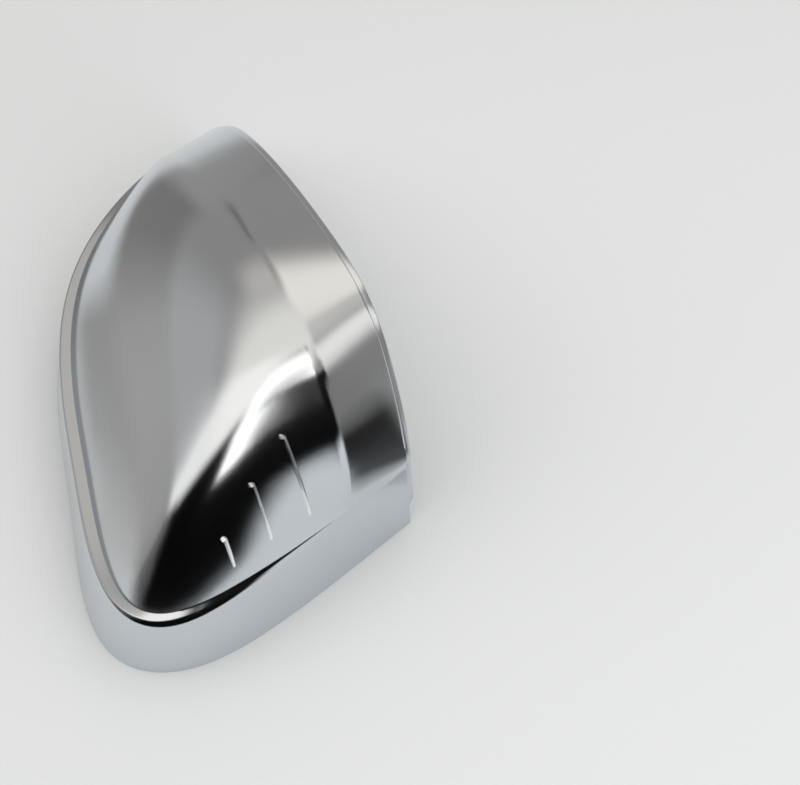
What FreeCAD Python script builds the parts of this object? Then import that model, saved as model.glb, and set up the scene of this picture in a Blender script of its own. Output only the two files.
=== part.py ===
import FreeCAD, Part
import math
import os
from FreeCAD import Vector

# Cover of a car's wing mirror: one thin moulded cap, open underneath and along one side.
# While it is modelled, the open side is the upright plane x = 0, the flank lies behind it at
# minus x, the wide end is at minus y, and the rim stands on z = 0.

# rim in plan
mouth_wide = 108.0          # from mid length to the rim's corner at the wide end
mouth_narrow = 105.5        # and to its corner at the narrow end
wide_end_angle = 17.5       # how far the wide end turns back from square to the open side
narrow_end_angle = 21.0     # and the narrow end
wide_end_straight = 68.0    # straight run of the wide end, back from the open side
narrow_end_straight = 44.0  # straight run of the narrow end
rear_corner_depth = 105.0   # spline points round the rear corner: depth behind the open side
rear_corner_overhang = 27.0  # and how far each stands past the wide end of the mouth
rear_turn_depth = 132.5
rear_turn_overhang = 1.0
flank_depths = [116.0, 108.0, 87.0]
flank_places = [-47.5, -2.5, 57.5]

# skirt between rim and edge
skirt_wide = 34.5           # height at the wide end
skirt_narrow = 24.5         # height at the narrow end
lean_wide = 3.2             # how far the edge stands inside the rim at the wide end
lean_corner = 0.8           # and further round
lean_turn = 9.0
lean_flank = 4.8
lean_narrow = 7.5
edge_radii = [1.6, 2.0, 3.0, 1.2, 0.8, 0.8, 0.8, 0.8, 0.8]  # reach of its round, from the wide end

# ledge between the edge and the dome: level along the flank, it turns up into the dome at the wide end
ledge_widths = [0.0, 1.8, 2.6, 4.0, 3.8, 3.8, 3.4, 2.0, 0.0]
ledge_slopes = [74.0, 60.0, 24.0, 4.0, 0.0, 0.0, 0.0, 8.0, 18.0]

# crease between dome and band: an arch in an upright plane
crease_set = 25.5           # how far it lies behind the open side
crease_shares = [0.0, 0.07, 0.15, 0.4, 0.66, 0.88, 0.97]  # places between its feet
crease_heights = [59.0, 83.0, 99.0, 102.5, 79.5, 54.0, 33.0]
crease_radius = 2.2

# free edge of the band along the open side
edge_shares = [-0.01, 0.05, 0.15, 0.35, 0.62, 0.85, 0.94]
edge_heights = [43.0, 73.0, 99.5, 96.0, 80.5, 57.0, 36.5]

# section of the dome, from the crease down to the ledge
crown_reach = 0.3           # pull of the crown, as a share of the span
crown_slope = -4.0          # how the crown leaves the crease, against level
face_reach = 0.56           # pull of the lower face, as a share of the span
face_slopes = [72, 74, 66, 57, 58, 60, 56, 54, 60]  # how steeply it leaves the ledge, from the wide end

wall = 2.5

# lip along the open side
lip_set = 1.0               # how far it lies under the face of the band
lip_reach = 2.5             # how far it stands out
lip_root = 2.0              # how far it runs back into the wall
lip_stop_wide = 9.0         # its ends above the rim
lip_stop_narrow = 7.0

# strakes on the lower face of the wide end: the top and the bottom of each, as shares of the way
# round the dome from the wide end and of the way up from the ledge
strakes = [((0.167, 0.781), (0.029, 0.356)),
           ((0.127, 0.55), (0.054, 0.169)),
           ((0.11, 0.262), (0.088, 0.088))]
strake_height = 1.8         # at its top, from where it fades to nothing
strake_thickness = 1.4
strake_crest = 0.5          # thickness at its crest
strake_root = 1.2           # how deep it is rooted in the wall
strake_section_count = 6

# snap hooks inside the skirt
hook_shares = [0.12, 0.33, 0.5, 0.68, 0.86]  # places round the rim from the wide end
hook_width = 11.0
hook_thickness = 2.0
hook_gap = 2.2              # between a hook and the skirt's inside, at the skirt's top
hook_stop = 8.0             # its end above the rim
hook_barb = 1.4             # how far the barb stands out
hook_nose = 3.0             # height of the barb's lead-in
hook_rise = 22.0            # how far it runs up past the skirt, into the dome

# ribs across the inside of the dome
rib_places = [-62.0, -12.0, 38.0]
rib_height = 5.0
rib_thickness = 1.6
rib_stop = 30.0             # their ends above the rim

# locating pegs under the crown
peg_depths = [62.0, 50.0]   # behind the open side
peg_places = [-40.0, 14.0]
peg_radius = 3.5
peg_tip_radius = 2.2
peg_tip_length = 5.0
peg_stop = 62.0             # their ends above the rim

clear = 5.0                 # how far the hollow is cut past the open faces
up = Vector(0, 0, 1)


def spline_knots(pole_count, degree):
    spans = pole_count - degree
    knots = [index / spans for index in range(spans + 1)]
    counts = [degree + 1] + [1] * (spans - 1) + [degree + 1]
    return knots, counts


def spline_surface(rows):
    # each row of poles runs round the cover, and the rows follow one another up the section
    around = min(3, len(rows[0]) - 1)
    across = min(3, len(rows) - 1)
    knots_around, counts_around = spline_knots(len(rows[0]), around)
    knots_across, counts_across = spline_knots(len(rows), across)
    poles = [[row[index] for row in rows] for index in range(len(rows[0]))]
    surface = Part.BSplineSurface()
    surface.buildFromPolesMultsKnots(poles, counts_around, counts_across, knots_around, knots_across,
                                     False, False, around, across)
    return surface


def spline_curve(poles):
    degree = min(3, len(poles) - 1)
    knots, counts = spline_knots(len(poles), degree)
    spline = Part.BSplineCurve()
    spline.buildFromPolesMultsKnots(poles, counts, knots, False, degree)
    return spline


def long_faces(rows):
    # a face round the whole cover comes in two halves that meet on the flank
    halves = []
    for start, end in ((0, 0.5), (0.5, 1)):
        surface = spline_surface(rows)
        surface.segment(start, end, 0, 1)
        halves.append(surface.toShape())
    return halves


def long_edges(poles):
    halves = []
    for start, end in ((0, 0.5), (0.5, 1)):
        spline = spline_curve(poles)
        spline.segment(start, end)
        halves.append(spline.toShape())
    return halves


def flat_face(edges):
    return Part.Face(Part.Wire(Part.sortEdges(edges)[0]))


def unit(vector):
    return Vector(vector).normalize()


def steps(first, final, count):
    return [first + (final - first) * index / (count - 1) for index in range(count)]


def sloped(direction, degrees):
    # the level direction, raised by the angle
    return direction * math.cos(math.radians(degrees)) + up * math.sin(math.radians(degrees))


def plan_inward(points, index):
    before = points[max(index - 1, 0)]
    after = points[min(index + 1, len(points) - 1)]
    along = unit(after - before)
    return Vector(along.y, -along.x, 0)


def arch_inward(points, index):
    before = points[index - 1]
    after = points[index + 1]
    along = unit(Vector(0, after.y - before.y, after.z - before.z))
    return Vector(0, along.z, -along.y)


def run_on(point, behind, x):
    # from the point behind it through the point, on to the upright plane at x
    step = point - behind
    return point + step * ((x - point.x) / step.x)


def toward(point, target, distance):
    if (target - point).Length < 1e-9:
        return Vector(point)
    return point + unit(target - point) * distance


def upward(point, target, distance):
    # toward the target, within the upright plane through the point
    return toward(point, Vector(point.x, target.y, target.z), distance)


def rim_poles():
    # from the foot of the crease at the wide end round to its foot at the narrow end
    wide_turn = math.tan(math.radians(wide_end_angle))
    narrow_turn = math.tan(math.radians(narrow_end_angle))
    poles = []
    for depth in (crease_set, wide_end_straight):
        poles.append(Vector(-depth, -mouth_wide - depth * wide_turn, 0))
    poles.append(Vector(-rear_corner_depth, -mouth_wide - rear_corner_overhang, 0))
    poles.append(Vector(-rear_turn_depth, -mouth_wide - rear_turn_overhang, 0))
    for depth, place in zip(flank_depths, flank_places):
        poles.append(Vector(-depth, place, 0))
    for depth in (narrow_end_straight, crease_set):
        poles.append(Vector(-depth, mouth_narrow - depth * narrow_turn, 0))
    return poles


rim = rim_poles()
stations = range(len(rim))
last = len(rim) - 1
inward = [plan_inward(rim, i) for i in stations]
leans = [lean_wide] * 2 + [lean_corner, lean_turn] + [lean_flank] * 2 + [lean_narrow] * 3
skirt_heights = steps(skirt_wide, skirt_narrow, len(rim))
edge = [rim[i] + inward[i] * leans[i] + up * skirt_heights[i] for i in stations]


def arch(first, final, shares, heights):
    depths = steps(first.x, final.x, len(rim))[1:-1]
    between = []
    for depth, share, height in zip(depths, shares, heights):
        between.append(Vector(depth, first.y + (final.y - first.y) * share, height))
    return [first] + between + [final]


crease = arch(edge[0], edge[last], crease_shares, crease_heights)
edge_feet = [run_on(edge[0], edge[1], 0), run_on(edge[last], edge[last - 1], 0)]
free_edge = arch(edge_feet[0], edge_feet[1], edge_shares, edge_heights)


def inset_arch(points, inset):
    between = [points[i] + arch_inward(points, i) * inset for i in stations[1:-1]]
    return [points[0]] + between + [points[last]]


def edge_rounds(inset):
    # only the outer faces are rounded at the skirt's edge
    return edge_radii if inset == 0 else [0.0 for radius in edge_radii]


def section_rows(inset, reach, drop):
    # rows of poles round the cover, from the rim up to the free edge, inside its outer faces by
    # inset, run on past the open side by reach and below the rim by drop
    round_edge = edge_rounds(inset)
    round_crease = max(crease_radius - inset, 0)
    rows = {}
    rows["base"] = [rim[i] + inward[i] * inset + (rim[i] - edge[i]) * (drop / edge[i].z) for i in stations]
    falls = [math.tan(math.radians(45 - slope / 2)) for slope in ledge_slopes]
    corner = [edge[i] + (inward[i] - up * falls[i]) * inset for i in stations]
    rows["corner"] = corner
    rows["low"] = [toward(corner[i], rows["base"][i], round_edge[i]) for i in stations]

    ridge = inset_arch(crease, inset)
    ledge = [sloped(inward[i], ledge_slopes[i]) for i in stations]
    high = [corner[i] + ledge[i] * round_edge[i] for i in stations]
    foot = []
    for i in stations:
        middle = (face_slopes[i] + ledge_slopes[i]) / 2
        half_turn = math.radians(face_slopes[i] - middle)
        into = sloped(inward[i], middle - 90) * (inset / math.cos(half_turn))
        foot.append(edge[i] + ledge[i] * (edge_radii[i] + ledge_widths[i]) + into)
    for end, beside in ((0, 1), (last, last - 1)):
        high[end] = upward(corner[end], ridge[beside], round_edge[end])
        foot[end] = high[end]
        ridge[end] = high[end]
    spans = [(ridge[i] - foot[i]).Length for i in stations]
    lower = [foot[i] + sloped(inward[i], face_slopes[i]) * (face_reach * spans[i]) for i in stations]
    crown = [ridge[i] + sloped(Vector(-1, 0, 0), crown_slope) * (crown_reach * spans[i]) for i in stations]
    rows.update(high=high, foot=foot, lower=lower, crown=crown, ridge=ridge)

    lip = inset_arch(free_edge, inset)
    rows["lip"] = [run_on(lip[i], ridge[i], reach) for i in stations]
    rows["ridge_dome"] = [toward(ridge[i], crown[i], round_crease) for i in stations]
    rows["ridge_band"] = [toward(ridge[i], rows["lip"][i], round_crease) for i in stations]
    for end in (0, last):
        rows["ridge_band"][end] = ridge[end]
    return rows


def dome_surface(rows):
    return spline_surface([rows["foot"], rows["lower"], rows["crown"], rows["ridge_dome"]])


def cover_body(inset, reach, drop):
    # the closed body within the faces that section_rows describes
    rows = section_rows(inset, reach, drop)
    base, low, corner, high, lip = (rows[name] for name in ("base", "low", "corner", "high", "lip"))
    round_edge = edge_rounds(inset)
    rounded = max(round_edge) > 0
    faces = long_faces([base, low]) + long_faces([high, rows["foot"]])
    faces += long_faces([rows["foot"], rows["lower"], rows["crown"], rows["ridge_dome"]])
    if rounded:
        faces += long_faces([low, corner, high])
    if crease_radius > inset:
        faces += long_faces([rows["ridge_dome"], rows["ridge"], rows["ridge_band"]])

    # the straight ends of the skirt, from the feet of the crease to the open side
    ends = []
    for end, beside in ((0, 1), (last, last - 1)):
        base_end = run_on(base[end], base[beside], reach)
        corner_end = run_on(corner[end], corner[beside], reach)
        low_end = toward(corner_end, base_end, round_edge[end])
        high_end = upward(corner_end, lip[beside], round_edge[end])
        faces.append(spline_surface([[base_end, base[end]], [low_end, low[end]]]).toShape())
        if rounded:
            round_rows = [[low_end, low[end]], [corner_end, corner[end]], [high_end, high[end]]]
            faces.append(spline_surface(round_rows).toShape())
        lip[end] = high_end
        ends.append((base_end, low_end, corner_end, high_end))
    faces += long_faces([rows["ridge_band"], lip])

    # the flat faces underneath and along the open side
    wide, narrow = ends
    closing = spline_curve([wide[0], narrow[0]]).toShape()
    rim_ends = [spline_curve([end[0], base[i]]).toShape() for end, i in ((wide, 0), (narrow, last))]
    faces.append(flat_face([closing] + rim_ends + long_edges(base)))
    uprights = [spline_curve(end[:2]).toShape() for end in ends]
    if rounded:
        uprights += [spline_curve(end[1:]).toShape() for end in ends]
    faces.append(flat_face([closing] + uprights + long_edges(lip)))

    shell = Part.makeShell(faces)
    shell.sewShape()
    body = Part.makeSolid(shell.Shells[0])
    if body.Volume < 0:
        body.reverse()
    return body


def lip_body():
    # a tongue under the band's face that stands out of the open side and stops above the rim
    body = cover_body(lip_set, lip_reach, 0)
    length = 2 * (mouth_wide + mouth_narrow)
    height = max(edge_heights)
    zones = []
    for start, stop in ((-length, lip_stop_wide), (0, lip_stop_narrow)):
        zones.append(Part.makeBox(lip_root + 2 * lip_reach, length, height, Vector(-lip_root, start, stop)))
    return body.common(zones[0]).fuse(body.common(zones[1]))


def strake_body(surface, top, bottom):
    # a thin straight fin that stands out of the surface, tallest at its top and sunk at its bottom
    start = surface.value(*top)
    ahead = surface.value(*bottom) - start
    sections = []
    for share in steps(0, 1, strake_section_count):
        around, height = surface.parameter(start + ahead * share)
        outward = surface.normal(around, height)
        if outward.z < 0:
            outward = outward * -1
        across = unit(ahead.cross(outward))
        root = surface.value(around, height) - outward * strake_root
        rise = strake_height * (1 - share) - strake_root / 2 * share
        crest = surface.value(around, height) + outward * rise
        corners = [root - across * (strake_thickness / 2), root + across * (strake_thickness / 2),
                   crest + across * (strake_crest / 2), crest - across * (strake_crest / 2)]
        sections.append(Part.makePolygon(corners + corners[:1]))
    return Part.makeLoft(sections, True, True)


def hook_body(skirt_top, share):
    # a blade that hangs from the ledge or the dome beside the skirt, with its barb toward the skirt
    foot = skirt_top.value(share)
    along = unit(skirt_top.tangent(share)[0])
    inwards = Vector(along.y, -along.x, 0)
    top = max(skirt_wide, skirt_narrow) + hook_rise
    barb_start = hook_stop + hook_nose
    back = hook_gap + hook_thickness
    outline = [(hook_gap, top), (hook_gap, barb_start + hook_barb), (hook_gap - hook_barb, barb_start),
               (hook_gap, hook_stop), (back, hook_stop), (back, top)]
    corner = foot - along * (hook_width / 2)
    points = [corner + inwards * depth + up * height for depth, height in outline]
    return Part.Face(Part.makePolygon(points + points[:1])).extrude(along * hook_width)


def rib_body(place):
    # a web that stands in from the wall, from the flank over to the band
    depth = rear_turn_depth + clear
    length = depth - crease_set / 2
    corner = Vector(-depth, place - rib_thickness / 2, rib_stop)
    web = Part.makeBox(length, rib_thickness, max(crease_heights), corner)
    return web.cut(cover_body(wall + rib_height, clear, clear))


def peg_body(depth, place):
    foot = Vector(-depth, place, peg_stop)
    shank = Part.makeCylinder(peg_radius, max(crease_heights) - peg_stop, foot + up * peg_tip_length)
    return shank.fuse(Part.makeCylinder(peg_tip_radius, 2 * peg_tip_length, foot))


outside = cover_body(0, 0, 0)
hollow = cover_body(wall, clear, clear)
cover = outside.fuse(lip_body()).cut(hollow)

# what stands inside is cut off halfway through the wall, and so joins it without showing outside
mid_wall = cover_body(wall / 2, 0, 0)
skirt_top = spline_curve([rim[i] + inward[i] * (leans[i] + wall) for i in stations])
inner = [hook_body(skirt_top, share) for share in hook_shares]
inner += [rib_body(place) for place in rib_places]
inner += [peg_body(depth, place) for depth, place in zip(peg_depths, peg_places)]
cover = cover.multiFuse([body.common(mid_wall) for body in inner])

dome = dome_surface(section_rows(0, 0, 0))
cover = cover.multiFuse([strake_body(dome, top, bottom) for top, bottom in strakes])

# the finished cover stands on z = 0, with the middle of its plan on the origin
box = cover.optimalBoundingBox()
cover.translate(Vector(-box.Center.x, -box.Center.y, -box.ZMin))
print("cover", cover.isValid(), len(cover.Solids), cover.Volume, box)

os.makedirs("parts", exist_ok=True)
cover.exportStep("parts/mirror_cover.step")
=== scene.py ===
import bpy
import bmesh
import math
import numpy as np
from mathutils import Matrix, Vector
from mathutils.bvhtree import BVHTree


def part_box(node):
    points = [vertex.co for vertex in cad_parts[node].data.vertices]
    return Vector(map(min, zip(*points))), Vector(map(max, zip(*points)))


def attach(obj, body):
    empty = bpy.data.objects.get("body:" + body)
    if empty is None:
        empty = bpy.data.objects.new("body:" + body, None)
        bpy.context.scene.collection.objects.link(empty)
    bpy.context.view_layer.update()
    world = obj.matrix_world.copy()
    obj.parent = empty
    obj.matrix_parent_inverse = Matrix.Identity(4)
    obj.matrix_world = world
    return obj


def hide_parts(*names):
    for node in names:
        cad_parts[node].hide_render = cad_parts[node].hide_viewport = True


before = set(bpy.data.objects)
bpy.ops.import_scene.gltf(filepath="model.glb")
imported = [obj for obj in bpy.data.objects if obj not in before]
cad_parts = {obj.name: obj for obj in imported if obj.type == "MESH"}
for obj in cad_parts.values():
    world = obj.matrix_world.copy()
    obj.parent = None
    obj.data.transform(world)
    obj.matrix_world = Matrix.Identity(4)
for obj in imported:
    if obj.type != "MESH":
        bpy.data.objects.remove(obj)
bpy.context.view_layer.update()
print("frame loaded")

millimetre = 0.001
upward = np.array([0.0, 0.0, 1.0])
boxLow, boxHigh = (np.array(corner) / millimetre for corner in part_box("mirror_cover"))

# the cover's own sizes, in millimetres and degrees, from the wide end round to the narrow end
coverForm = {
    "mouthWide": 108.0,             # from mid length to the rim's corner at the wide end
    "mouthNarrow": 105.5,
    "wideEndAngle": 17.5,
    "narrowEndAngle": 21.0,
    "wideEndStraight": 68.0,
    "narrowEndStraight": 44.0,
    "rearCornerDepth": 105.0,
    "rearCornerOverhang": 27.0,
    "rearTurnDepth": 132.5,
    "rearTurnOverhang": 1.0,
    "flankDepths": [116.0, 108.0, 87.0],
    "flankPlaces": [-47.5, -2.5, 57.5],
    "skirtHeights": [34.5, 24.5],   # at the wide end and at the narrow end
    "skirtLeans": [3.2, 3.2, 0.8, 9.0, 4.8, 4.8, 7.5, 7.5, 7.5],
    "edgeRadii": [1.6, 2.0, 3.0, 1.2, 0.8, 0.8, 0.8, 0.8, 0.8],
    "ledgeWidths": [0.0, 1.8, 2.6, 4.0, 3.8, 3.8, 3.4, 2.0, 0.0],
    "ledgeSlopes": [74.0, 60.0, 24.0, 4.0, 0.0, 0.0, 0.0, 8.0, 18.0],
    "creaseSet": 25.5,
    "creaseShares": [0.0, 0.07, 0.15, 0.4, 0.66, 0.88, 0.97],
    "creaseHeights": [59.0, 83.0, 99.0, 102.5, 79.5, 54.0, 33.0],
    "creaseRadius": 2.2,
    "edgeShares": [-0.01, 0.05, 0.15, 0.35, 0.62, 0.85, 0.94],
    "edgeHeights": [43.0, 73.0, 99.5, 96.0, 80.5, 57.0, 36.5],
    "crownReach": 0.3,
    "crownSlope": -4.0,
    "faceReach": 0.56,
    "faceSlopes": [72, 74, 66, 57, 58, 60, 56, 54, 60],
    "wall": 2.5,
    "lipSet": 1.0,                  # how far the lip lies under the band's face
    "lipReach": 2.5,
    "lipStops": [9.0, 7.0],         # ends of the lip above the rim
    "lipFillet": 0.15,              # radius between the wall's end and the lip
    "softness": 0.35,               # radius of the thin edges
}
shift = np.array([boxHigh[0] - coverForm["lipReach"], boxHigh[1] - coverForm["mouthNarrow"], boxLow[2]])

# how finely each part of the section is divided
meshSteps = {"round": 330, "skirt": 16, "edge": 8, "ledge": 6, "dome": 84, "crease": 8, "band": 18, "softEdge": 3}
evenShare = 0.35        # at 1 the rows of a part lie evenly, at 0 they crowd toward its ends
poleCount = len(coverForm["skirtLeans"])
smallShare = 1e-4       # for taking slopes along the faces
mending = {"merge": 2e-6, "shortest": 1e-6, "holeSides": 120}   # metres, and the sides of a hole that is closed


def unitRows(rows):
    lengths = np.linalg.norm(rows, axis=-1, keepdims=True)
    return rows / np.maximum(lengths, 1e-12)


def gathered(count):
    # shares from 0 to 1 that lie closer together toward both ends
    even = np.linspace(0, 1, count + 1)
    return evenShare * even + (1 - evenShare) * (0.5 - 0.5 * np.cos(math.pi * even))


def splineWeights(places):
    # how much each pole counts at each place along a clamped cubic spline
    degree = 3
    inner = np.linspace(0, 1, poleCount - degree + 1)
    knots = np.concatenate([np.zeros(degree), inner, np.ones(degree)])
    places = np.clip(np.asarray(places, float), 0, 1 - 1e-12)
    weights = [(places >= knots[i]) & (places < knots[i + 1]) for i in range(len(knots) - 1)]
    weights = np.array(weights, float)
    for order in range(1, degree + 1):
        raised = []
        for i in range(len(knots) - 1 - order):
            rise = knots[i + order] - knots[i]
            fall = knots[i + order + 1] - knots[i + 1]
            first = (places - knots[i]) / rise * weights[i] if rise > 0 else 0
            second = (knots[i + order + 1] - places) / fall * weights[i + 1] if fall > 0 else 0
            raised.append(first + second)
        weights = np.array([np.zeros(len(places)) + row for row in raised])
    return weights.T


def bandWeights(rowCount, places):
    # the same up the section, where each face has two to four rows of poles
    places = np.asarray(places, float)
    degree = rowCount - 1
    weights = [math.comb(degree, i) * places ** i * (1 - places) ** (degree - i) for i in range(rowCount)]
    return np.array(weights).T


def runOn(point, behind, x):
    # the line from one point through the next, run on to a depth
    step = point - behind
    return point + step * ((x - point[0]) / step[0])


def toward(points, targets, distance):
    return points + unitRows(targets - points) * distance


def archInward(points):
    # square to the arch and level with the open side's plane
    before = np.vstack([points[:1], points[:-1]])
    after = np.vstack([points[1:], points[-1:]])
    along = unitRows((after - before) * np.array([0, 1, 1]))
    return np.stack([0 * along[:, 0], along[:, 2], -along[:, 1]], 1)


def insetArch(points, inset):
    moved = points + archInward(points) * inset
    moved[0], moved[-1] = points[0], points[-1]
    return moved


def archPoints(first, final, shares, heights):
    depths = np.linspace(first[0], final[0], len(shares) + 2)[1:-1]
    places = first[1] + (final[1] - first[1]) * np.array(shares)
    return np.vstack([first, np.stack([depths, places, np.array(heights)], 1), final])


def sectionRows(form, inset, reach, drop):
    # rows of poles from the rim up to the free edge: inset goes into the wall, reach out of the open side, drop down
    wide, narrow = form["mouthWide"], form["mouthNarrow"]
    wideTurn = math.tan(math.radians(form["wideEndAngle"]))
    narrowTurn = math.tan(math.radians(form["narrowEndAngle"]))
    rim = [(-depth, -wide - depth * wideTurn, 0) for depth in (form["creaseSet"], form["wideEndStraight"])]
    rim.append((-form["rearCornerDepth"], -wide - form["rearCornerOverhang"], 0))
    rim.append((-form["rearTurnDepth"], -wide - form["rearTurnOverhang"], 0))
    rim += [(-depth, place, 0) for depth, place in zip(form["flankDepths"], form["flankPlaces"])]
    rim += [(-depth, narrow - depth * narrowTurn, 0) for depth in (form["narrowEndStraight"], form["creaseSet"])]
    rim = np.array(rim, float)
    along = unitRows(np.vstack([rim[1:], rim[-1:]]) - np.vstack([rim[:1], rim[:-1]]))
    inward = np.stack([along[:, 1], -along[:, 0], 0 * along[:, 0]], 1)
    heights = np.linspace(*form["skirtHeights"], len(rim))[:, None]
    edge = rim + inward * np.array(form["skirtLeans"])[:, None] + upward * heights
    crease = archPoints(edge[0], edge[-1], form["creaseShares"], form["creaseHeights"])
    wideFoot = runOn(edge[0], edge[1], 0)
    narrowFoot = runOn(edge[-1], edge[-2], 0)
    freeEdge = archPoints(wideFoot, narrowFoot, form["edgeShares"], form["edgeHeights"])

    radii = np.array(form["edgeRadii"])[:, None]
    edgeRound = radii if inset == 0 else 0 * radii
    creaseRound = max(form["creaseRadius"] - inset, 0)
    slope = np.radians(form["ledgeSlopes"])[:, None]
    leave = np.radians(form["faceSlopes"])[:, None]
    middle, halfTurn = (leave + slope) / 2, (leave - slope) / 2
    ledge = inward * np.cos(slope) + upward * np.sin(slope)
    base = rim + inward * inset + (rim - edge) * (drop / heights)
    corner = edge + (inward - upward * np.tan(math.pi / 4 - slope / 2)) * inset
    low = toward(corner, base, edgeRound)
    ridge = insetArch(crease, inset)
    high = corner + ledge * edgeRound
    foot = edge + ledge * (radii + np.array(form["ledgeWidths"])[:, None])
    foot += (inward * np.sin(middle) - upward * np.cos(middle)) * inset / np.cos(halfTurn)
    for end, beside in ((0, 1), (-1, -2)):
        climb = (ridge[beside] - corner[end]) * np.array([0, 1, 1])
        high[end] = corner[end] + unitRows(climb) * edgeRound[end]
        foot[end] = high[end]
        ridge[end] = high[end]
    span = np.linalg.norm(ridge - foot, axis=1)[:, None]
    lower = foot + (inward * np.cos(leave) + upward * np.sin(leave)) * form["faceReach"] * span
    crownSlope = math.radians(form["crownSlope"])
    crown = ridge + np.array([-math.cos(crownSlope), 0, math.sin(crownSlope)]) * form["crownReach"] * span

    lip = insetArch(freeEdge, inset)
    lip = np.array([runOn(lip[i], ridge[i], reach) for i in range(len(lip))])
    ridgeDome = toward(ridge, crown, creaseRound)
    ridgeBand = toward(ridge, lip, creaseRound)
    ridgeBand[0], ridgeBand[-1] = ridge[0], ridge[-1]
    ends = []
    for end, beside in ((0, 1), (-1, -2)):
        baseEnd = runOn(base[end], base[beside], reach)
        cornerEnd = runOn(corner[end], corner[beside], reach)
        lowEnd = toward(cornerEnd, baseEnd, edgeRound[end])
        climb = (lip[beside] - cornerEnd) * np.array([0, 1, 1])
        lip[end] = cornerEnd + unitRows(climb) * edgeRound[end]
        ends.append((baseEnd, lowEnd, cornerEnd, lip[end].copy()))
    return {"base": base, "low": low, "corner": corner, "high": high, "foot": foot, "lower": lower, "crown": crown,
            "ridgeDome": ridgeDome, "ridge": ridge, "ridgeBand": ridgeBand, "lip": lip, "ends": ends,
            "inward": inward, "rim": rim}


# the weights round the cover, and the rows of poles that each part of the section lies between
roundWeights = splineWeights(np.linspace(0, 1, meshSteps["round"] + 1))
sectionParts = [
    ("skirt", ["base", "low"]),
    ("edge", ["low", "corner", "high"]),
    ("ledge", ["high", "foot"]),
    ("dome", ["foot", "lower", "crown", "ridgeDome"]),
    ("crease", ["ridgeDome", "ridge", "ridgeBand"]),
    ("band", ["ridgeBand", "lip"]),
]


def gridOf(rows, partName, names):
    # a grid of points over one part of the section, going up by rows and round by columns
    rise = bandWeights(len(names), gathered(meshSteps[partName]))
    return np.einsum("vk,uc,kcx->vux", rise, roundWeights, np.array([rows[name] for name in names]))


def endColumns(rows, end):
    # the straight end of the skirt with its round, from the foot of the crease to the open side
    baseEnd, lowEnd, cornerEnd, highEnd = rows["ends"][end]
    out = gathered(meshSteps["band"])[:, None]
    skirt = gathered(meshSteps["skirt"])
    rise = bandWeights(3, gathered(meshSteps["edge"]))
    inner = [rows[name][end] for name in ("base", "low", "corner", "high")]
    outer = [baseEnd, lowEnd, cornerEnd, highEnd]
    lines = [inner[i] + (outer[i] - inner[i]) * out for i in range(4)]
    wall = lines[0] + (lines[1] - lines[0]) * skirt[:, None, None]
    bend = np.einsum("vk,kux->vux", rise, np.array(lines[1:]))
    return [wall, bend]


def openRing(form, inset, reach):
    # the outline of the open side at one depth in the wall, from rim to rim
    rows = sectionRows(form, inset, reach, 0)
    skirt = gathered(meshSteps["skirt"])[:, None]
    rise = bandWeights(3, gathered(meshSteps["edge"]))
    sides = []
    for baseEnd, lowEnd, cornerEnd, highEnd in rows["ends"]:
        straight = baseEnd + (lowEnd - baseEnd) * skirt
        sides.append(np.vstack([straight, rise @ np.array([lowEnd, cornerEnd, highEnd])]))
    return np.vstack([sides[0], roundWeights @ rows["lip"], sides[1][::-1]])


def rimLine(form, inset, drop, reach):
    # the outline of the rim at one depth in the wall, from the open side round and back to it
    rows = sectionRows(form, inset, reach, drop)
    out = gathered(meshSteps["band"])[:, None]
    wide = rows["base"][0] + (rows["ends"][0][0] - rows["base"][0]) * out
    narrow = rows["base"][-1] + (rows["ends"][1][0] - rows["base"][-1]) * out
    return np.vstack([wide[::-1], roundWeights @ rows["base"], narrow])


class MeshMaker:
    # gathers grids of points into one mesh
    def __init__(self):
        self.points = []
        self.faces = []
        self.count = 0

    def addGrid(self, grid):
        rowCount, columnCount = grid.shape[:2]
        first = self.count
        self.points.append(grid.reshape(-1, 3))
        self.count += rowCount * columnCount
        for row in range(rowCount - 1):
            start = first + row * columnCount
            for column in range(columnCount - 1):
                corner = start + column
                self.faces.append((corner, corner + 1, corner + columnCount + 1, corner + columnCount))

    def makePiece(self, name, closeHoles=True, sharpAngle=40.0):
        points = (np.vstack(self.points) + shift) * millimetre
        mesh = bpy.data.meshes.new(name)
        mesh.from_pydata(points.tolist(), [], self.faces)
        work = bmesh.new()
        work.from_mesh(mesh)
        bmesh.ops.remove_doubles(work, verts=work.verts, dist=mending["merge"])
        bmesh.ops.dissolve_degenerate(work, edges=work.edges, dist=mending["shortest"])
        if closeHoles:
            bmesh.ops.holes_fill(work, edges=work.edges, sides=mending["holeSides"])
        bmesh.ops.recalc_face_normals(work, faces=work.faces)
        work.to_mesh(mesh)
        work.free()
        mesh.shade_smooth()
        mesh.set_sharp_from_angle(angle=math.radians(sharpAngle))
        piece = bpy.data.objects.new(name, mesh)
        bpy.context.scene.collection.objects.link(piece)
        return piece


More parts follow.
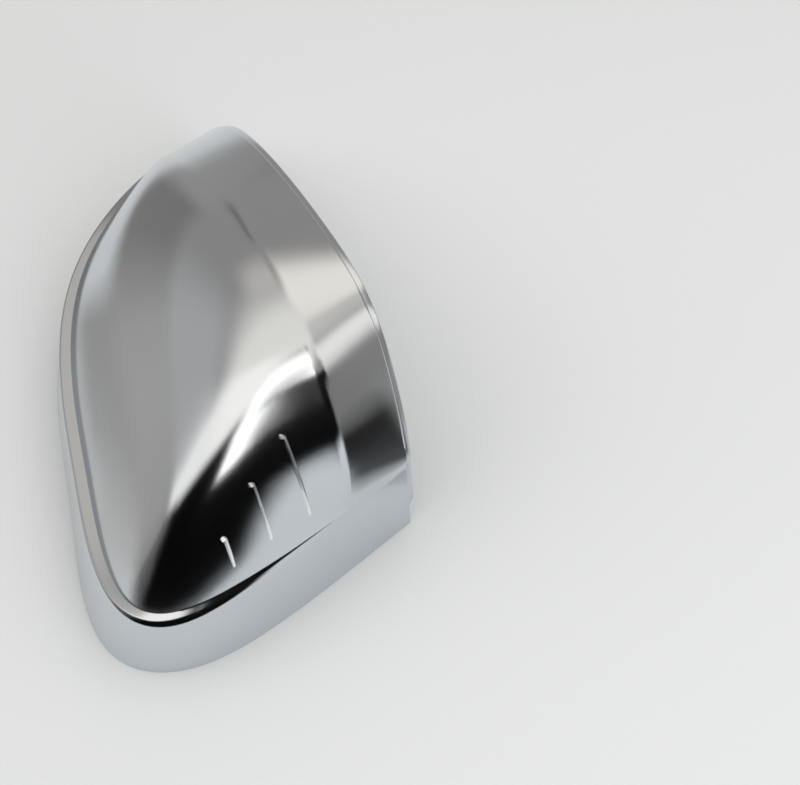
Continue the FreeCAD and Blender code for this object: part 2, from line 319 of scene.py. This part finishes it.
def makeShell(form):
    maker = MeshMaker()
    soft = form["softness"]
    wall = form["wall"]
    turn = np.radians(np.linspace(0, 90, meshSteps["softEdge"] + 1))
    rounding = [(soft * (1 - math.cos(a)), soft * (math.sin(a) - 1)) for a in turn]   # inset and reach round an edge

    # outer faces, from just above the rim to just short of the free edge, and then the inner faces
    for rows in (sectionRows(form, 0, -soft, -soft), sectionRows(form, wall, 0, -soft)):
        for partName, names in sectionParts:
            maker.addGrid(gridOf(rows, partName, names))
        for end in (0, -1):
            for grid in endColumns(rows, end):
                maker.addGrid(grid)

    # the rim, rounded at both sides
    rimRows = [rimLine(form, inset, drop, -soft) for inset, drop in rounding]
    rimRows += [rimLine(form, wall - inset, drop, 0) for inset, drop in rounding[::-1]]
    maker.addGrid(np.array(rimRows))

    # the open side: the wall's end, then the lip that stands out under the band's face
    wideStop, narrowStop = form["lipStops"]
    reachOut, step, fillet = form["lipReach"], form["lipSet"], form["lipFillet"]
    bend = round(fillet * (1 - math.sqrt(0.5)), 3)      # where the fillet's middle lies

    def lipRow(inset, reach):
        full = openRing(form, inset, reach)
        flush = openRing(form, inset, 0)
        half = len(full) // 2
        limits = np.where(np.arange(len(full)) < half, wideStop, narrowStop)[:, None]
        return np.where(flush[:, 2:] > limits, full, flush)

    ringRows = [openRing(form, inset, reach) for inset, reach in rounding]
    ringRows += [openRing(form, step - soft, 0), openRing(form, step - fillet, 0), lipRow(step - bend, bend)]
    ringRows += [lipRow(step, fillet), lipRow(step, soft), lipRow(step, reachOut - soft)]
    ringRows += [lipRow(step + inset, reachOut + reach) for inset, reach in rounding[1:]]
    ringRows += [lipRow(wall - inset, reachOut + reach) for inset, reach in rounding[::-1]]
    ringRows.append(openRing(form, wall, 0))
    maker.addGrid(np.array(ringRows))
    return maker.makePiece("coverShell")


shell = makeShell(coverForm)
print("shell made", len(shell.data.polygons), "faces")


def treeOfMidWall(form):
    # the middle of the wall, for finding how far up a part inside may go
    rows = sectionRows(form, form["wall"] / 2, 0, 0)
    maker = MeshMaker()
    for partName, names in sectionParts:
        maker.addGrid(gridOf(rows, partName, names))
    points = np.vstack(maker.points)
    return BVHTree.FromPolygons([Vector(point) for point in points], maker.faces)


midWall = treeOfMidWall(coverForm)


def heightOfWall(x, y):
    hit = midWall.ray_cast(Vector((x, y, 1.0)), Vector((0, 0, 1)))
    return hit[0].z


# strakes on the lower face of the wide end
strakeForm = {
    "places": [((0.167, 0.781), (0.029, 0.356)),    # top and bottom, as shares round and up the dome
               ((0.127, 0.55), (0.054, 0.169)),
               ((0.11, 0.262), (0.088, 0.088))],
    "height": 1.6,
    "fade": 0.75,           # under 1, the height holds longer before it falls to nothing
    "half": 0.52,           # half the thickness
    "rootRadius": 0.35,
    "legLength": 1.3,       # the short leg that the top end turns into
    "legTurn": 1.1,         # how far down the leg goes for each length round
    "legTip": 0.25,         # over which its end falls to the face
    "sunk": 0.05,           # how far the ends lie under the face
    "bed": 0.03,
    "steps": 60,
    # the section from left to right: share of the half, share of the root radius, share of the height.
    # The right side slopes gently from the crest, and the left side falls steeply.
    "section": [(-1.0, -1.0, 0.0), (-1.0, -0.4, 0.06), (-1.0, 0.0, 0.26), (-0.93, 0.0, 0.46), (-0.8, 0.0, 0.6),
                (-0.55, 0.0, 0.72), (-0.1, 0.0, 0.88), (0.3, 0.0, 0.98), (0.48, 0.0, 1.0), (0.62, 0.0, 0.93),
                (0.72, 0.0, 0.7), (0.8, 0.0, 0.3), (0.95, 0.0, 0.08), (1.0, 1.0, 0.0)],
}


def domePoint(places):
    # points and outward directions of the dome at places round and up
    places = np.atleast_2d(places)
    rows = sectionRows(coverForm, 0, 0, 0)
    net = np.array([rows[name] for name in ("foot", "lower", "crown", "ridgeDome")])

    def at(shares):
        return np.einsum("nk,nc,kcx->nx", bandWeights(len(net), shares[:, 1]), splineWeights(shares[:, 0]), net)

    point = at(places)
    goRound = (at(places + [smallShare, 0]) - at(places - [smallShare, 0])) / (2 * smallShare)
    goUp = (at(places + [0, smallShare]) - at(places - [0, smallShare])) / (2 * smallShare)
    outward = unitRows(np.cross(goUp, goRound))
    outward *= np.sign(outward[:, 2:])
    return point, goRound, goUp, outward


def movedOnDome(places, steps):
    # the places that the steps lead to, along the dome
    _, goRound, goUp, _ = domePoint(places)
    slopes = [np.stack(pair, 1) for pair in zip(goRound, goUp)]
    shares = [np.linalg.lstsq(slope, step, rcond=None)[0] for slope, step in zip(slopes, steps)]
    return places + np.array(shares)


def straightOnDome(top, bottom, shares):
    # the places on the dome that lie nearest to the straight line between two of its points
    ends = domePoint([top, bottom])[0]
    targets = ends[0] + (ends[1] - ends[0]) * shares
    places = top + (bottom - top) * shares
    for turn in range(6):       # each turn comes closer
        places = movedOnDome(places, targets - domePoint(places)[0])
    return places


def makeStrakes(form):
    maker = MeshMaker()
    for top, bottom in form["places"]:
        line = straightOnDome(np.array(top), np.array(bottom), np.linspace(0, 1, form["steps"] + 1)[:, None])

        # the leg at the top, from its tip
        _, goRound, goUp, _ = domePoint(line[:1])
        leg = unitRows(unitRows(goRound) - unitRows(goUp) * form["legTurn"])
        distances = [form["legLength"] + form["legTip"], form["legLength"], form["legLength"] * 0.5]
        line = np.vstack([movedOnDome(line[:1], leg * distance) for distance in distances] + [line])

        point, _, _, outward = domePoint(line)
        along = unitRows(np.vstack([point[1:], point[-1:]]) - np.vstack([point[:1], point[:-1]]))
        along[-1] = along[-2]
        across = unitRows(np.cross(along, outward))
        run = np.concatenate([[0.0], np.cumsum(np.linalg.norm(np.diff(point, axis=0), axis=1))])
        run -= run[len(distances)]
        share = np.clip(run / run[-1], 0, 1)
        height = form["height"] * (1 - share) ** form["fade"] - form["sunk"]
        height[0] = -form["sunk"]
        columns = []
        for halves, radii, rise in form["section"]:
            offset = halves * form["half"] + radii * form["rootRadius"]
            surface, _, _, normal = domePoint(movedOnDome(line, across * offset))
            columns.append(surface + normal * (rise * height - form["bed"])[:, None])
        maker.addGrid(np.array(columns))
    return maker.makePiece("strakes", closeHoles=False, sharpAngle=60.0)


strakes = makeStrakes(strakeForm)
print("strakes made")

# snap hooks inside the skirt
hookForm = {
    "shares": [0.12, 0.33, 0.5, 0.68, 0.86],    # places round the cover
    "width": 11.0,
    "thickness": 2.0,
    "gap": 2.2,             # between the skirt's top and the hook
    "stop": 8.0,            # its lower end above the rim
    "barb": 1.4,
    "nose": 3.0,            # height of the barb's slope
    "corner": 0.4,          # radius of its corners
    "bend": 0.12,           # where the corner's middle lies
    "shank": [40.0, 30.0, 20.0],    # heights of its rows, which end at the middle of the wall
}


def makeHooks(form):
    maker = MeshMaker()
    rows = sectionRows(coverForm, 0, 0, 0)
    leans = np.array(coverForm["skirtLeans"])[:, None] + coverForm["wall"]
    poles = rows["rim"] + rows["inward"] * leans

    # the outline, as depths from the skirt and heights, from the top down the barbed face and up the back
    face, back = form["gap"], form["gap"] + form["thickness"]
    barb, nose, stop, corner = form["barb"], form["nose"], form["stop"], form["corner"]
    barbTop = stop + nose
    outline = [(face, height) for height in form["shank"]]
    outline += [(face, barbTop + barb + corner), (face - 0.3, barbTop + barb * 0.8), (face - barb + 0.1, barbTop + 0.15),
                (face - barb, barbTop - 0.1), (face - barb / 2, barbTop - nose / 2), (face + 0.1, stop + 0.1),
                (face + corner, stop), (back - corner, stop), (back, stop + corner)]
    outline += [(back, height) for height in reversed(form["shank"])]
    middle = (face + back) / 2

    # places across the hook, and how much thinner it is there, which rounds its sides
    half, bend = form["width"] / 2, form["bend"]
    slices = [(-half, corner), (-half + bend, bend), (-half + corner, 0.0), (-half / 2, 0.0), (0.0, 0.0),
              (half / 2, 0.0), (half - corner, 0.0), (half - bend, bend), (half, corner)]
    for share in form["shares"]:
        before, foot, after = splineWeights([share - smallShare, share, share + smallShare]) @ poles
        along = unitRows(after - before)
        inwards = np.array([along[1], -along[0], 0])
        grid = []
        for width, thinner in slices:
            root = foot + along * width + inwards * face
            top = heightOfWall(root[0], root[1])
            line = []
            for depth, height in outline:
                depth += thinner * (0.5 if depth < middle else -0.5)
                line.append(foot + along * width + inwards * depth + upward * min(height, top))
            grid.append(line + line[:1])
        maker.addGrid(np.array(grid))
    return maker.makePiece("snapHooks", sharpAngle=50.0)


hooks = makeHooks(hookForm)
print("snap hooks made")

# ribs across the inside of the dome
ribForm = {
    "places": [-62.0, -12.0, 38.0],
    "height": 5.0,
    "thickness": 1.6,
    "rootSpread": 0.5,      # how much further out each side stands at the root
    "shoulder": 0.75,       # share of the height at which a side has come in to the thickness
    "crestRound": 0.2,
    "stop": 30.0,           # lower end above the rim
}


def sectionAt(place, inset):
    # the line that a face at this inset draws in the upright plane at the place
    rows = sectionRows(coverForm, inset, 0, 0)
    line = []
    for partName, names in sectionParts[2:]:
        for row in gridOf(rows, partName, names):
            crossings = np.nonzero(np.diff(np.sign(row[:, 1] - place)))[0]
            if len(crossings):
                before, after = row[crossings[-1]], row[crossings[-1] + 1]
                line.append(before + (after - before) * (place - before[1]) / (after[1] - before[1]))
    return np.array(line)


def makeRibs(form):
    maker = MeshMaker()
    half, spread, bend = form["thickness"] / 2, form["rootSpread"], form["crestRound"]
    for place in form["places"]:
        root = sectionAt(place, coverForm["wall"] / 2)
        crest = sectionAt(place, coverForm["wall"] + form["height"])
        keep = (crest[:, 2] > form["stop"]) & (crest[:, 0] < -coverForm["creaseSet"] / 2)
        root, crest = root[keep], crest[keep]
        shoulder = root * (1 - form["shoulder"]) + crest * form["shoulder"]
        lines = [(root, -half - spread), (shoulder, -half), (crest, -half + bend),
                 (crest, half - bend), (shoulder, half), (root, half + spread)]
        grid = [line + np.array([0, offset, 0]) for line, offset in lines]
        maker.addGrid(np.array(grid + grid[:1]))
    return maker.makePiece("ribs", sharpAngle=50.0)


ribs = makeRibs(ribForm)
print("ribs made")

# locating pegs under the crown
pegForm = {
    "depths": [62.0, 50.0],
    "places": [-40.0, 14.0],
    "radius": 3.5,
    "tipRadius": 2.2,
    "tipLength": 5.0,
    "stop": 62.0,           # the tip's end above the rim
    "sides": 48,
}


def makePegs(form):
    maker = MeshMaker()
    turn = np.linspace(0, 2 * math.pi, form["sides"] + 1)
    stop, shoulder = form["stop"], form["stop"] + form["tipLength"]
    tip, shank = form["tipRadius"], form["radius"]

    # radii and heights from the middle of the tip's end, over its rounded edge and the shoulder, up the shank
    profile = [(0.01, stop), (tip - 0.7, stop), (tip - 0.25, stop + 0.15), (tip, stop + 0.8), (tip, shoulder - 0.2),
               (tip + 0.15, shoulder), (shank - 0.3, shoulder), (shank, shoulder + 0.3), (shank, shoulder + 2)]
    for depth, place in zip(form["depths"], form["places"]):
        grid = []
        for radius, height in profile:
            grid.append([(-depth + radius * math.cos(a), place + radius * math.sin(a), height) for a in turn])
        grid.append([(x, y, heightOfWall(x, y)) for x, y, _ in grid[-1]])
        maker.addGrid(np.array(grid))
    return maker.makePiece("pegs", sharpAngle=50.0)


pegs = makePegs(pegForm)
print("pegs made")

# satin chrome plate: a soft mirror with a fine grain
chromeFinish = {
    "name": "satinChrome",
    "colour": (0.64, 0.675, 0.715, 1.0),
    "roughness": 0.118,
    "roughnessSpread": 0.045,
    "grainScale": 2200.0,
    "grainDepth": 0.000014,
    "waveScale": 55.0,      # a slight unevenness of the plate
    "waveDepth": 0.00006,
}
# the strakes get a brighter copy of the chrome: a painted highlight that makes their ridges glint
strakeHighlightFinish = {**chromeFinish, "name": "strakeHighlightChrome", "colour": (0.93, 0.95, 0.97, 1.0), "roughness": 0.12}


def makeChrome(finish):
    material = bpy.data.materials.new(finish["name"])
    material.use_nodes = True
    nodes = material.node_tree.nodes
    links = material.node_tree.links
    shader = nodes["Principled BSDF"]
    shader.inputs["Base Color"].default_value = finish["colour"]
    shader.inputs["Metallic"].default_value = 1.0
    coordinates = nodes.new("ShaderNodeTexCoord")
    grain = nodes.new("ShaderNodeTexNoise")
    grain.inputs["Scale"].default_value = finish["grainScale"]
    grain.inputs["Detail"].default_value = 3.0
    wave = nodes.new("ShaderNodeTexNoise")
    wave.inputs["Scale"].default_value = finish["waveScale"]
    wave.inputs["Detail"].default_value = 1.0
    waveBump = nodes.new("ShaderNodeBump")
    waveBump.inputs["Distance"].default_value = finish["waveDepth"]
    grainBump = nodes.new("ShaderNodeBump")
    grainBump.inputs["Distance"].default_value = finish["grainDepth"]
    spread = nodes.new("ShaderNodeMapRange")
    spread.inputs["To Min"].default_value = finish["roughness"] - finish["roughnessSpread"]
    spread.inputs["To Max"].default_value = finish["roughness"] + finish["roughnessSpread"]
    links.new(coordinates.outputs["Object"], grain.inputs["Vector"])
    links.new(coordinates.outputs["Object"], wave.inputs["Vector"])
    links.new(wave.outputs["Fac"], waveBump.inputs["Height"])
    links.new(grain.outputs["Fac"], grainBump.inputs["Height"])
    links.new(waveBump.outputs["Normal"], grainBump.inputs["Normal"])
    links.new(grainBump.outputs["Normal"], shader.inputs["Normal"])
    links.new(grain.outputs["Fac"], spread.inputs["Value"])
    links.new(spread.outputs["Result"], shader.inputs["Roughness"])
    return material


chrome = makeChrome(chromeFinish)
# brighter chrome for the strakes, a painted highlight on their ridges
strakeHighlightChrome = makeChrome(strakeHighlightFinish)
for piece in (shell, strakes, hooks, ribs, pegs):
    piece.data.materials.append(strakeHighlightChrome if piece is strakes else chrome)
    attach(piece, "root")
    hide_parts("mirror_cover")
print("finish laid on")

# the floor, pale and matt. From here on lengths are in metres.
floorForm = {
    "radius": 4.0,
    "sides": 96,
    "colour": (0.682, 0.712, 0.738, 1.0),
}


def emptyNodes(holder):
    # the nodes and links of a material or a world, without the ones it starts with
    holder.use_nodes = True
    holder.node_tree.nodes.clear()
    return holder.node_tree.nodes, holder.node_tree.links


def makeFloor(form):
    mesh = bpy.data.meshes.new("floor")
    work = bmesh.new()
    bmesh.ops.create_circle(work, cap_ends=True, radius=form["radius"], segments=form["sides"])
    work.to_mesh(mesh)
    work.free()
    floor = bpy.data.objects.new("floor", mesh)
    bpy.context.scene.collection.objects.link(floor)
    material = bpy.data.materials.new("paleFloor")
    nodes, links = emptyNodes(material)
    matt = nodes.new("ShaderNodeBsdfDiffuse")
    matt.inputs["Color"].default_value = form["colour"]
    output = nodes.new("ShaderNodeOutputMaterial")
    links.new(matt.outputs["BSDF"], output.inputs["Surface"])
    mesh.materials.append(material)
    return floor


floor = makeFloor(floorForm)

# the studio round the cover: fields of light, placed in degrees from the line that the photo was taken along
viewTurn = 25.51                # of that line from the cover's length
studioForm = {
    "tint": (1.05, 1.0, 0.945),
    "overhead": (0.99, 0.98, 0.95),
    "round": (0.33, 0.33, 0.33),
    "rise": (44, 74),           # elevations between which the round turns into the overhead
    "fields": [
        # azimuth, elevation, half width, half height, softness, colour, strength
        (-82, 0, 32, 50, 14, (0.98, 1.0, 1.02), 0.50),
        (-138, 10, 51, 62, 12, (1.0, 1.0, 1.0), 1.13),
        (-160, 78, 75, 16, 12, (1.0, 0.99, 0.97), 1.28),
        (103, 5, 20, 28, 8, (1.0, 1.0, 1.0), 0.30),
        (141, 70, 8, 7, 3, (1.0, 1.0, 1.0), 1.7),
        (147.0, 33, 5.4, 13, 2.2, (1.0, 1.0, 1.0), 2.1),
        (149.2, 56, 5.2, 14, 2.2, (1.0, 1.0, 1.0), 2.0),
        (116, 79, 16, 3, 2.5, (1.0, 1.0, 1.0), 0.45),
        (-22, 50, 11, 9, 8, (1.0, 0.98, 0.95), 0.62),
        (-15, 16, 2.5, 12, 2.5, (1.0, 1.0, 1.0), 0.2),
        (20, 50, 20, 15, 9, (1.0, 0.97, 0.92), 1.1),
        (89, 42, 11, 18, 8, (1.0, 0.99, 0.98), 1.12),
    ],
    # the dark side: half the sky, by the direction it faces, laid over the first three fields
    "darkSide": {"azimuth": 175, "elevation": -38, "softness": 9, "level": 0.003, "after": 3},
}


def directionAt(azimuth, elevation):
    a, e = math.radians(azimuth + viewTurn), math.radians(elevation)
    return Vector((math.sin(a) * math.cos(e), math.cos(a) * math.cos(e), math.sin(e)))


def makeStudio(form):
    world = bpy.data.worlds.new("studio")
    bpy.context.scene.world = world
    nodes, links = emptyNodes(world)

    def worked(operation, *values):
        node = nodes.new("ShaderNodeMath")
        node.operation = operation
        for socket, value in zip(node.inputs, values):
            if isinstance(value, (int, float)):
                socket.default_value = value
            else:
                links.new(value, socket)
        return node.outputs[0]

    coordinates = nodes.new("ShaderNodeTexCoord")
    direction = coordinates.outputs["Generated"]
    parts = nodes.new("ShaderNodeSeparateXYZ")
    links.new(direction, parts.inputs[0])
    elevation = worked("DEGREES", worked("ARCSINE", parts.outputs["Z"]))
    azimuth = worked("DEGREES", worked("ARCTAN2", parts.outputs["X"], parts.outputs["Y"]))

    def softMask(value, start, end):
        ramp = nodes.new("ShaderNodeMapRange")
        ramp.interpolation_type = "SMOOTHSTEP"
        ramp.inputs["From Min"].default_value = start
        ramp.inputs["From Max"].default_value = end
        links.new(value, ramp.inputs["Value"])
        return ramp.outputs["Result"]

    def laidOver(under, mask, over):
        mix = nodes.new("ShaderNodeMix")
        mix.data_type = "RGBA"
        links.new(mask, mix.inputs["Factor"])
        if isinstance(under, tuple):
            mix.inputs["A"].default_value = (*under, 1)
        else:
            links.new(under, mix.inputs["A"])
        mix.inputs["B"].default_value = (*over, 1)
        return mix.outputs["Result"]

    colour = laidOver(form["round"], softMask(elevation, *form["rise"]), form["overhead"])
    dark = form["darkSide"]
    for number, (centre, height, halfWidth, halfHeight, soft, tint, strength) in enumerate(form["fields"]):
        if number == dark["after"]:
            facing = nodes.new("ShaderNodeVectorMath")
            facing.operation = "DOT_PRODUCT"
            links.new(direction, facing.inputs[0])
            facing.inputs[1].default_value = directionAt(dark["azimuth"], dark["elevation"])
            edge = math.sin(math.radians(dark["softness"]))
            colour = laidOver(colour, softMask(facing.outputs["Value"], -edge, edge), (dark["level"],) * 3)
        sideways = worked("ABSOLUTE", worked("WRAP", worked("SUBTRACT", azimuth, centre + viewTurn), 180, -180))
        upDown = worked("ABSOLUTE", worked("SUBTRACT", elevation, height))
        mask = worked("MULTIPLY", softMask(sideways, halfWidth + soft, halfWidth - soft),
                      softMask(upDown, halfHeight + soft, halfHeight - soft))
        colour = laidOver(colour, mask, tuple(channel * strength for channel in tint))
    tinted = nodes.new("ShaderNodeVectorMath")
    tinted.operation = "MULTIPLY"
    links.new(colour, tinted.inputs[0])
    tinted.inputs[1].default_value = form["tint"]
    background = nodes.new("ShaderNodeBackground")
    links.new(tinted.outputs["Vector"], background.inputs["Color"])
    output = nodes.new("ShaderNodeOutputWorld")
    links.new(background.outputs[0], output.inputs[0])


makeStudio(studioForm)

# curved cards, dark and grey, with soft edges and seen only in the plate. Each stands round a centre, from one
# azimuth to another. Both ends fade between two azimuths and may lean, in degrees for a metre up. The profile gives
# distance, height and how much the card hides, and the levels give azimuth and brightness.
cardSteps = {"round": 97, "rise": 8, "margin": 12}
cardForms = [
    {"name": "nearCard", "centre": (0.0, -0.06), "from": (134, 148), "to": (216, 246), "fromLean": -150,
     "profile": [(0.14, 0.0, 0.75), (0.14, 0.012, 1.0), (0.14, 0.11, 1.0), (0.14, 0.13, 0.0)],
     "levels": [(134, 0.003), (246, 0.003)]},
    # the neighbouring cover's dark flank, standing beside the band; the low part lying on the floor is painted
    # shadow, that cover's shadow on the floor as the plate mirrors it
    {"name": "neighbourAndShadowCard", "centre": (0.045, -0.09), "from": (84, 95), "to": (119, 132),
     "profile": [(0.036, 0.0005, 0.2), (0.05, 0.0005, 0.55), (0.05, 0.012, 0.9), (0.05, 0.055, 0.97),
                 (0.05, 0.076, 0.0)],
     "levels": [(84, 0.02), (132, 0.004)]},
    {"name": "sideGrey", "centre": (0.045, -0.09), "from": (70, 84), "to": (119, 132),
     "profile": [(0.07, 0.01, 0.0), (0.07, 0.04, 0.9), (0.07, 0.11, 0.9), (0.07, 0.14, 0.0)],
     "levels": [(70, 0.3), (132, 0.26)]},
    {"name": "streakEnd", "centre": (0.06, 0.83), "from": (149, 150), "to": (155.6, 155.95),
     "profile": [(1.0, 0.05, 0.0), (1.0, 0.07, 1.0), (1.0, 0.185, 1.0), (1.0, 0.205, 0.0)],
     "levels": [(149, 0.003), (156, 0.003)]},
    {"name": "farWall", "centre": (0.0, 0.0), "from": (-170, -150), "to": (-42, -22), "toLean": 600,
     "profile": [(0.16, 0.0, 0.1), (0.16, 0.02, 1.0), (0.16, 0.085, 1.0), (0.16, 0.11, 0.0)],
     "levels": [(-160, 0.05), (-148, 0.15), (-138, 0.33), (-120, 0.42), (-84, 0.46), (-67, 0.43), (-52, 0.33),
                (-37, 0.24), (-19, 0.23), (-13, 0.35), (10, 0.33)]},
    # painted shade: a sheet on the floor left of the cover, seen only in the plate and darker than the floor, for
    # the floor's shade near the cover
    {"name": "floorShadeCard", "centre": (0.0, 0.0), "from": (-150, -120), "to": (-62, -42),
     "profile": [(0.08, 0.001, 0.0), (0.105, 0.001, 0.9), (0.3, 0.001, 0.95)],
     "levels": [(-135, 0.62), (-115, 0.55), (-100, 0.46), (-91, 0.4), (-75, 0.36), (-60, 0.33)]},
]


def softStep(value, start, end):
    share = np.clip((value - start) / (end - start), 0, 1)
    return share * share * (3 - 2 * share)


def makeCard(form):
    fromLean, toLean = form.get("fromLean", 0), form.get("toLean", 0)
    profile = np.array(form["profile"])
    azimuths = np.linspace(form["from"][0] - cardSteps["margin"], form["to"][1] + toLean * profile[:, 1].max(),
                           cardSteps["round"])
    turned = np.radians(azimuths + viewTurn)
    run = np.linspace(0, 1, cardSteps["rise"], endpoint=False)[:, None]
    spans = [low + (high - low) * run for low, high in zip(profile[:-1], profile[1:])]
    profile = np.vstack(spans + [profile[-1:]])
    centreX, centreY = form["centre"]
    points, hides = [], []
    for distance, height, hide in profile:
        start = np.array(form["from"]) + fromLean * height
        end = np.array(form["to"]) + toLean * height
        x, y = centreX + np.sin(turned) * distance, centreY + np.cos(turned) * distance
        points.append(np.stack([x, y, 0 * turned + height], 1))
        hides.append(hide * softStep(azimuths, *start) * softStep(azimuths, *end[::-1]))
    count = len(azimuths)
    faces = [(row * count + i, row * count + i + 1, (row + 1) * count + i + 1, (row + 1) * count + i)
             for row in range(len(profile) - 1) for i in range(count - 1)]
    mesh = bpy.data.meshes.new(form["name"])
    mesh.from_pydata(np.vstack(points).tolist(), [], faces)
    levels = np.interp(azimuths, *np.array(form["levels"]).T)
    mesh.attributes.new("hide", "FLOAT", "POINT").data.foreach_set("value", np.concatenate(hides))
    mesh.attributes.new("level", "FLOAT", "POINT").data.foreach_set("value", np.tile(levels, len(profile)))
    card = bpy.data.objects.new(form["name"], mesh)
    bpy.context.scene.collection.objects.link(card)
    material = bpy.data.materials.new(form["name"])
    nodes, links = emptyNodes(material)
    hide = nodes.new("ShaderNodeAttribute")
    hide.attribute_name = "hide"
    level = nodes.new("ShaderNodeAttribute")
    level.attribute_name = "level"
    clear = nodes.new("ShaderNodeBsdfTransparent")
    face = nodes.new("ShaderNodeEmission")
    face.inputs["Color"].default_value = (*studioForm["tint"], 1)
    mix = nodes.new("ShaderNodeMixShader")
    output = nodes.new("ShaderNodeOutputMaterial")
    links.new(level.outputs["Fac"], face.inputs["Strength"])
    links.new(hide.outputs["Fac"], mix.inputs[0])
    links.new(clear.outputs[0], mix.inputs[1])
    links.new(face.outputs[0], mix.inputs[2])
    links.new(mix.outputs[0], output.inputs["Surface"])
    mesh.materials.append(material)
    card.visible_camera = False
    card.visible_diffuse = False
    card.visible_shadow = False
    card.visible_transmission = False


for cardForm in cardForms:
    makeCard(cardForm)

# soft lamps for the floor, aimed at the cover and not seen in the plate
lampForms = [
    {"name": "rightLamp", "place": (0.5, -0.3, 1.0), "size": 1.1, "power": 3.0},
    {"name": "frontLamp", "place": (0.25, -1.0, 0.6), "size": 0.8, "power": 4.0},
    {"name": "leftLamp", "place": (-0.6, 0.1, 1.2), "size": 1.2, "power": 3.0},
]


def makeLamp(form):
    data = bpy.data.lights.new(form["name"], "AREA")
    data.size = form["size"]
    data.energy = form["power"]
    lamp = bpy.data.objects.new(form["name"], data)
    lamp.location = form["place"]
    lamp.rotation_euler = (-Vector(form["place"])).to_track_quat("-Z", "Y").to_euler()
    lamp.visible_glossy = False
    lamp.visible_camera = False
    bpy.context.scene.collection.objects.link(lamp)


for lampForm in lampForms:
    makeLamp(lampForm)
print("floor and studio made")

# the camera, where the photograph was taken from
cameraForm = {
    "place": (-0.0844, -0.4050, 0.5700),
    "sight": (0.2525, 0.5291, -0.8101),
    "right": (0.9025, -0.4307, 0.0),
    "lens": 77.43,
    "sensorWidth": 36.0,
    "shift": (-0.01868, -0.0231),
}


def makeCamera(form):
    data = bpy.data.cameras.new("camera")
    data.lens = form["lens"]
    data.sensor_width = form["sensorWidth"]
    data.sensor_fit = "HORIZONTAL"
    data.shift_x, data.shift_y = form["shift"]
    camera = bpy.data.objects.new("camera", data)
    bpy.context.scene.collection.objects.link(camera)
    sight = Vector(form["sight"]).normalized()
    right = Vector(form["right"]).normalized()
    up = right.cross(sight)
    turned = Matrix((right, up, -sight)).transposed().to_4x4()
    camera.matrix_world = Matrix.Translation(form["place"]) @ turned
    bpy.context.scene.camera = camera


makeCamera(cameraForm)
bpy.context.scene.view_settings.view_transform = "Standard"
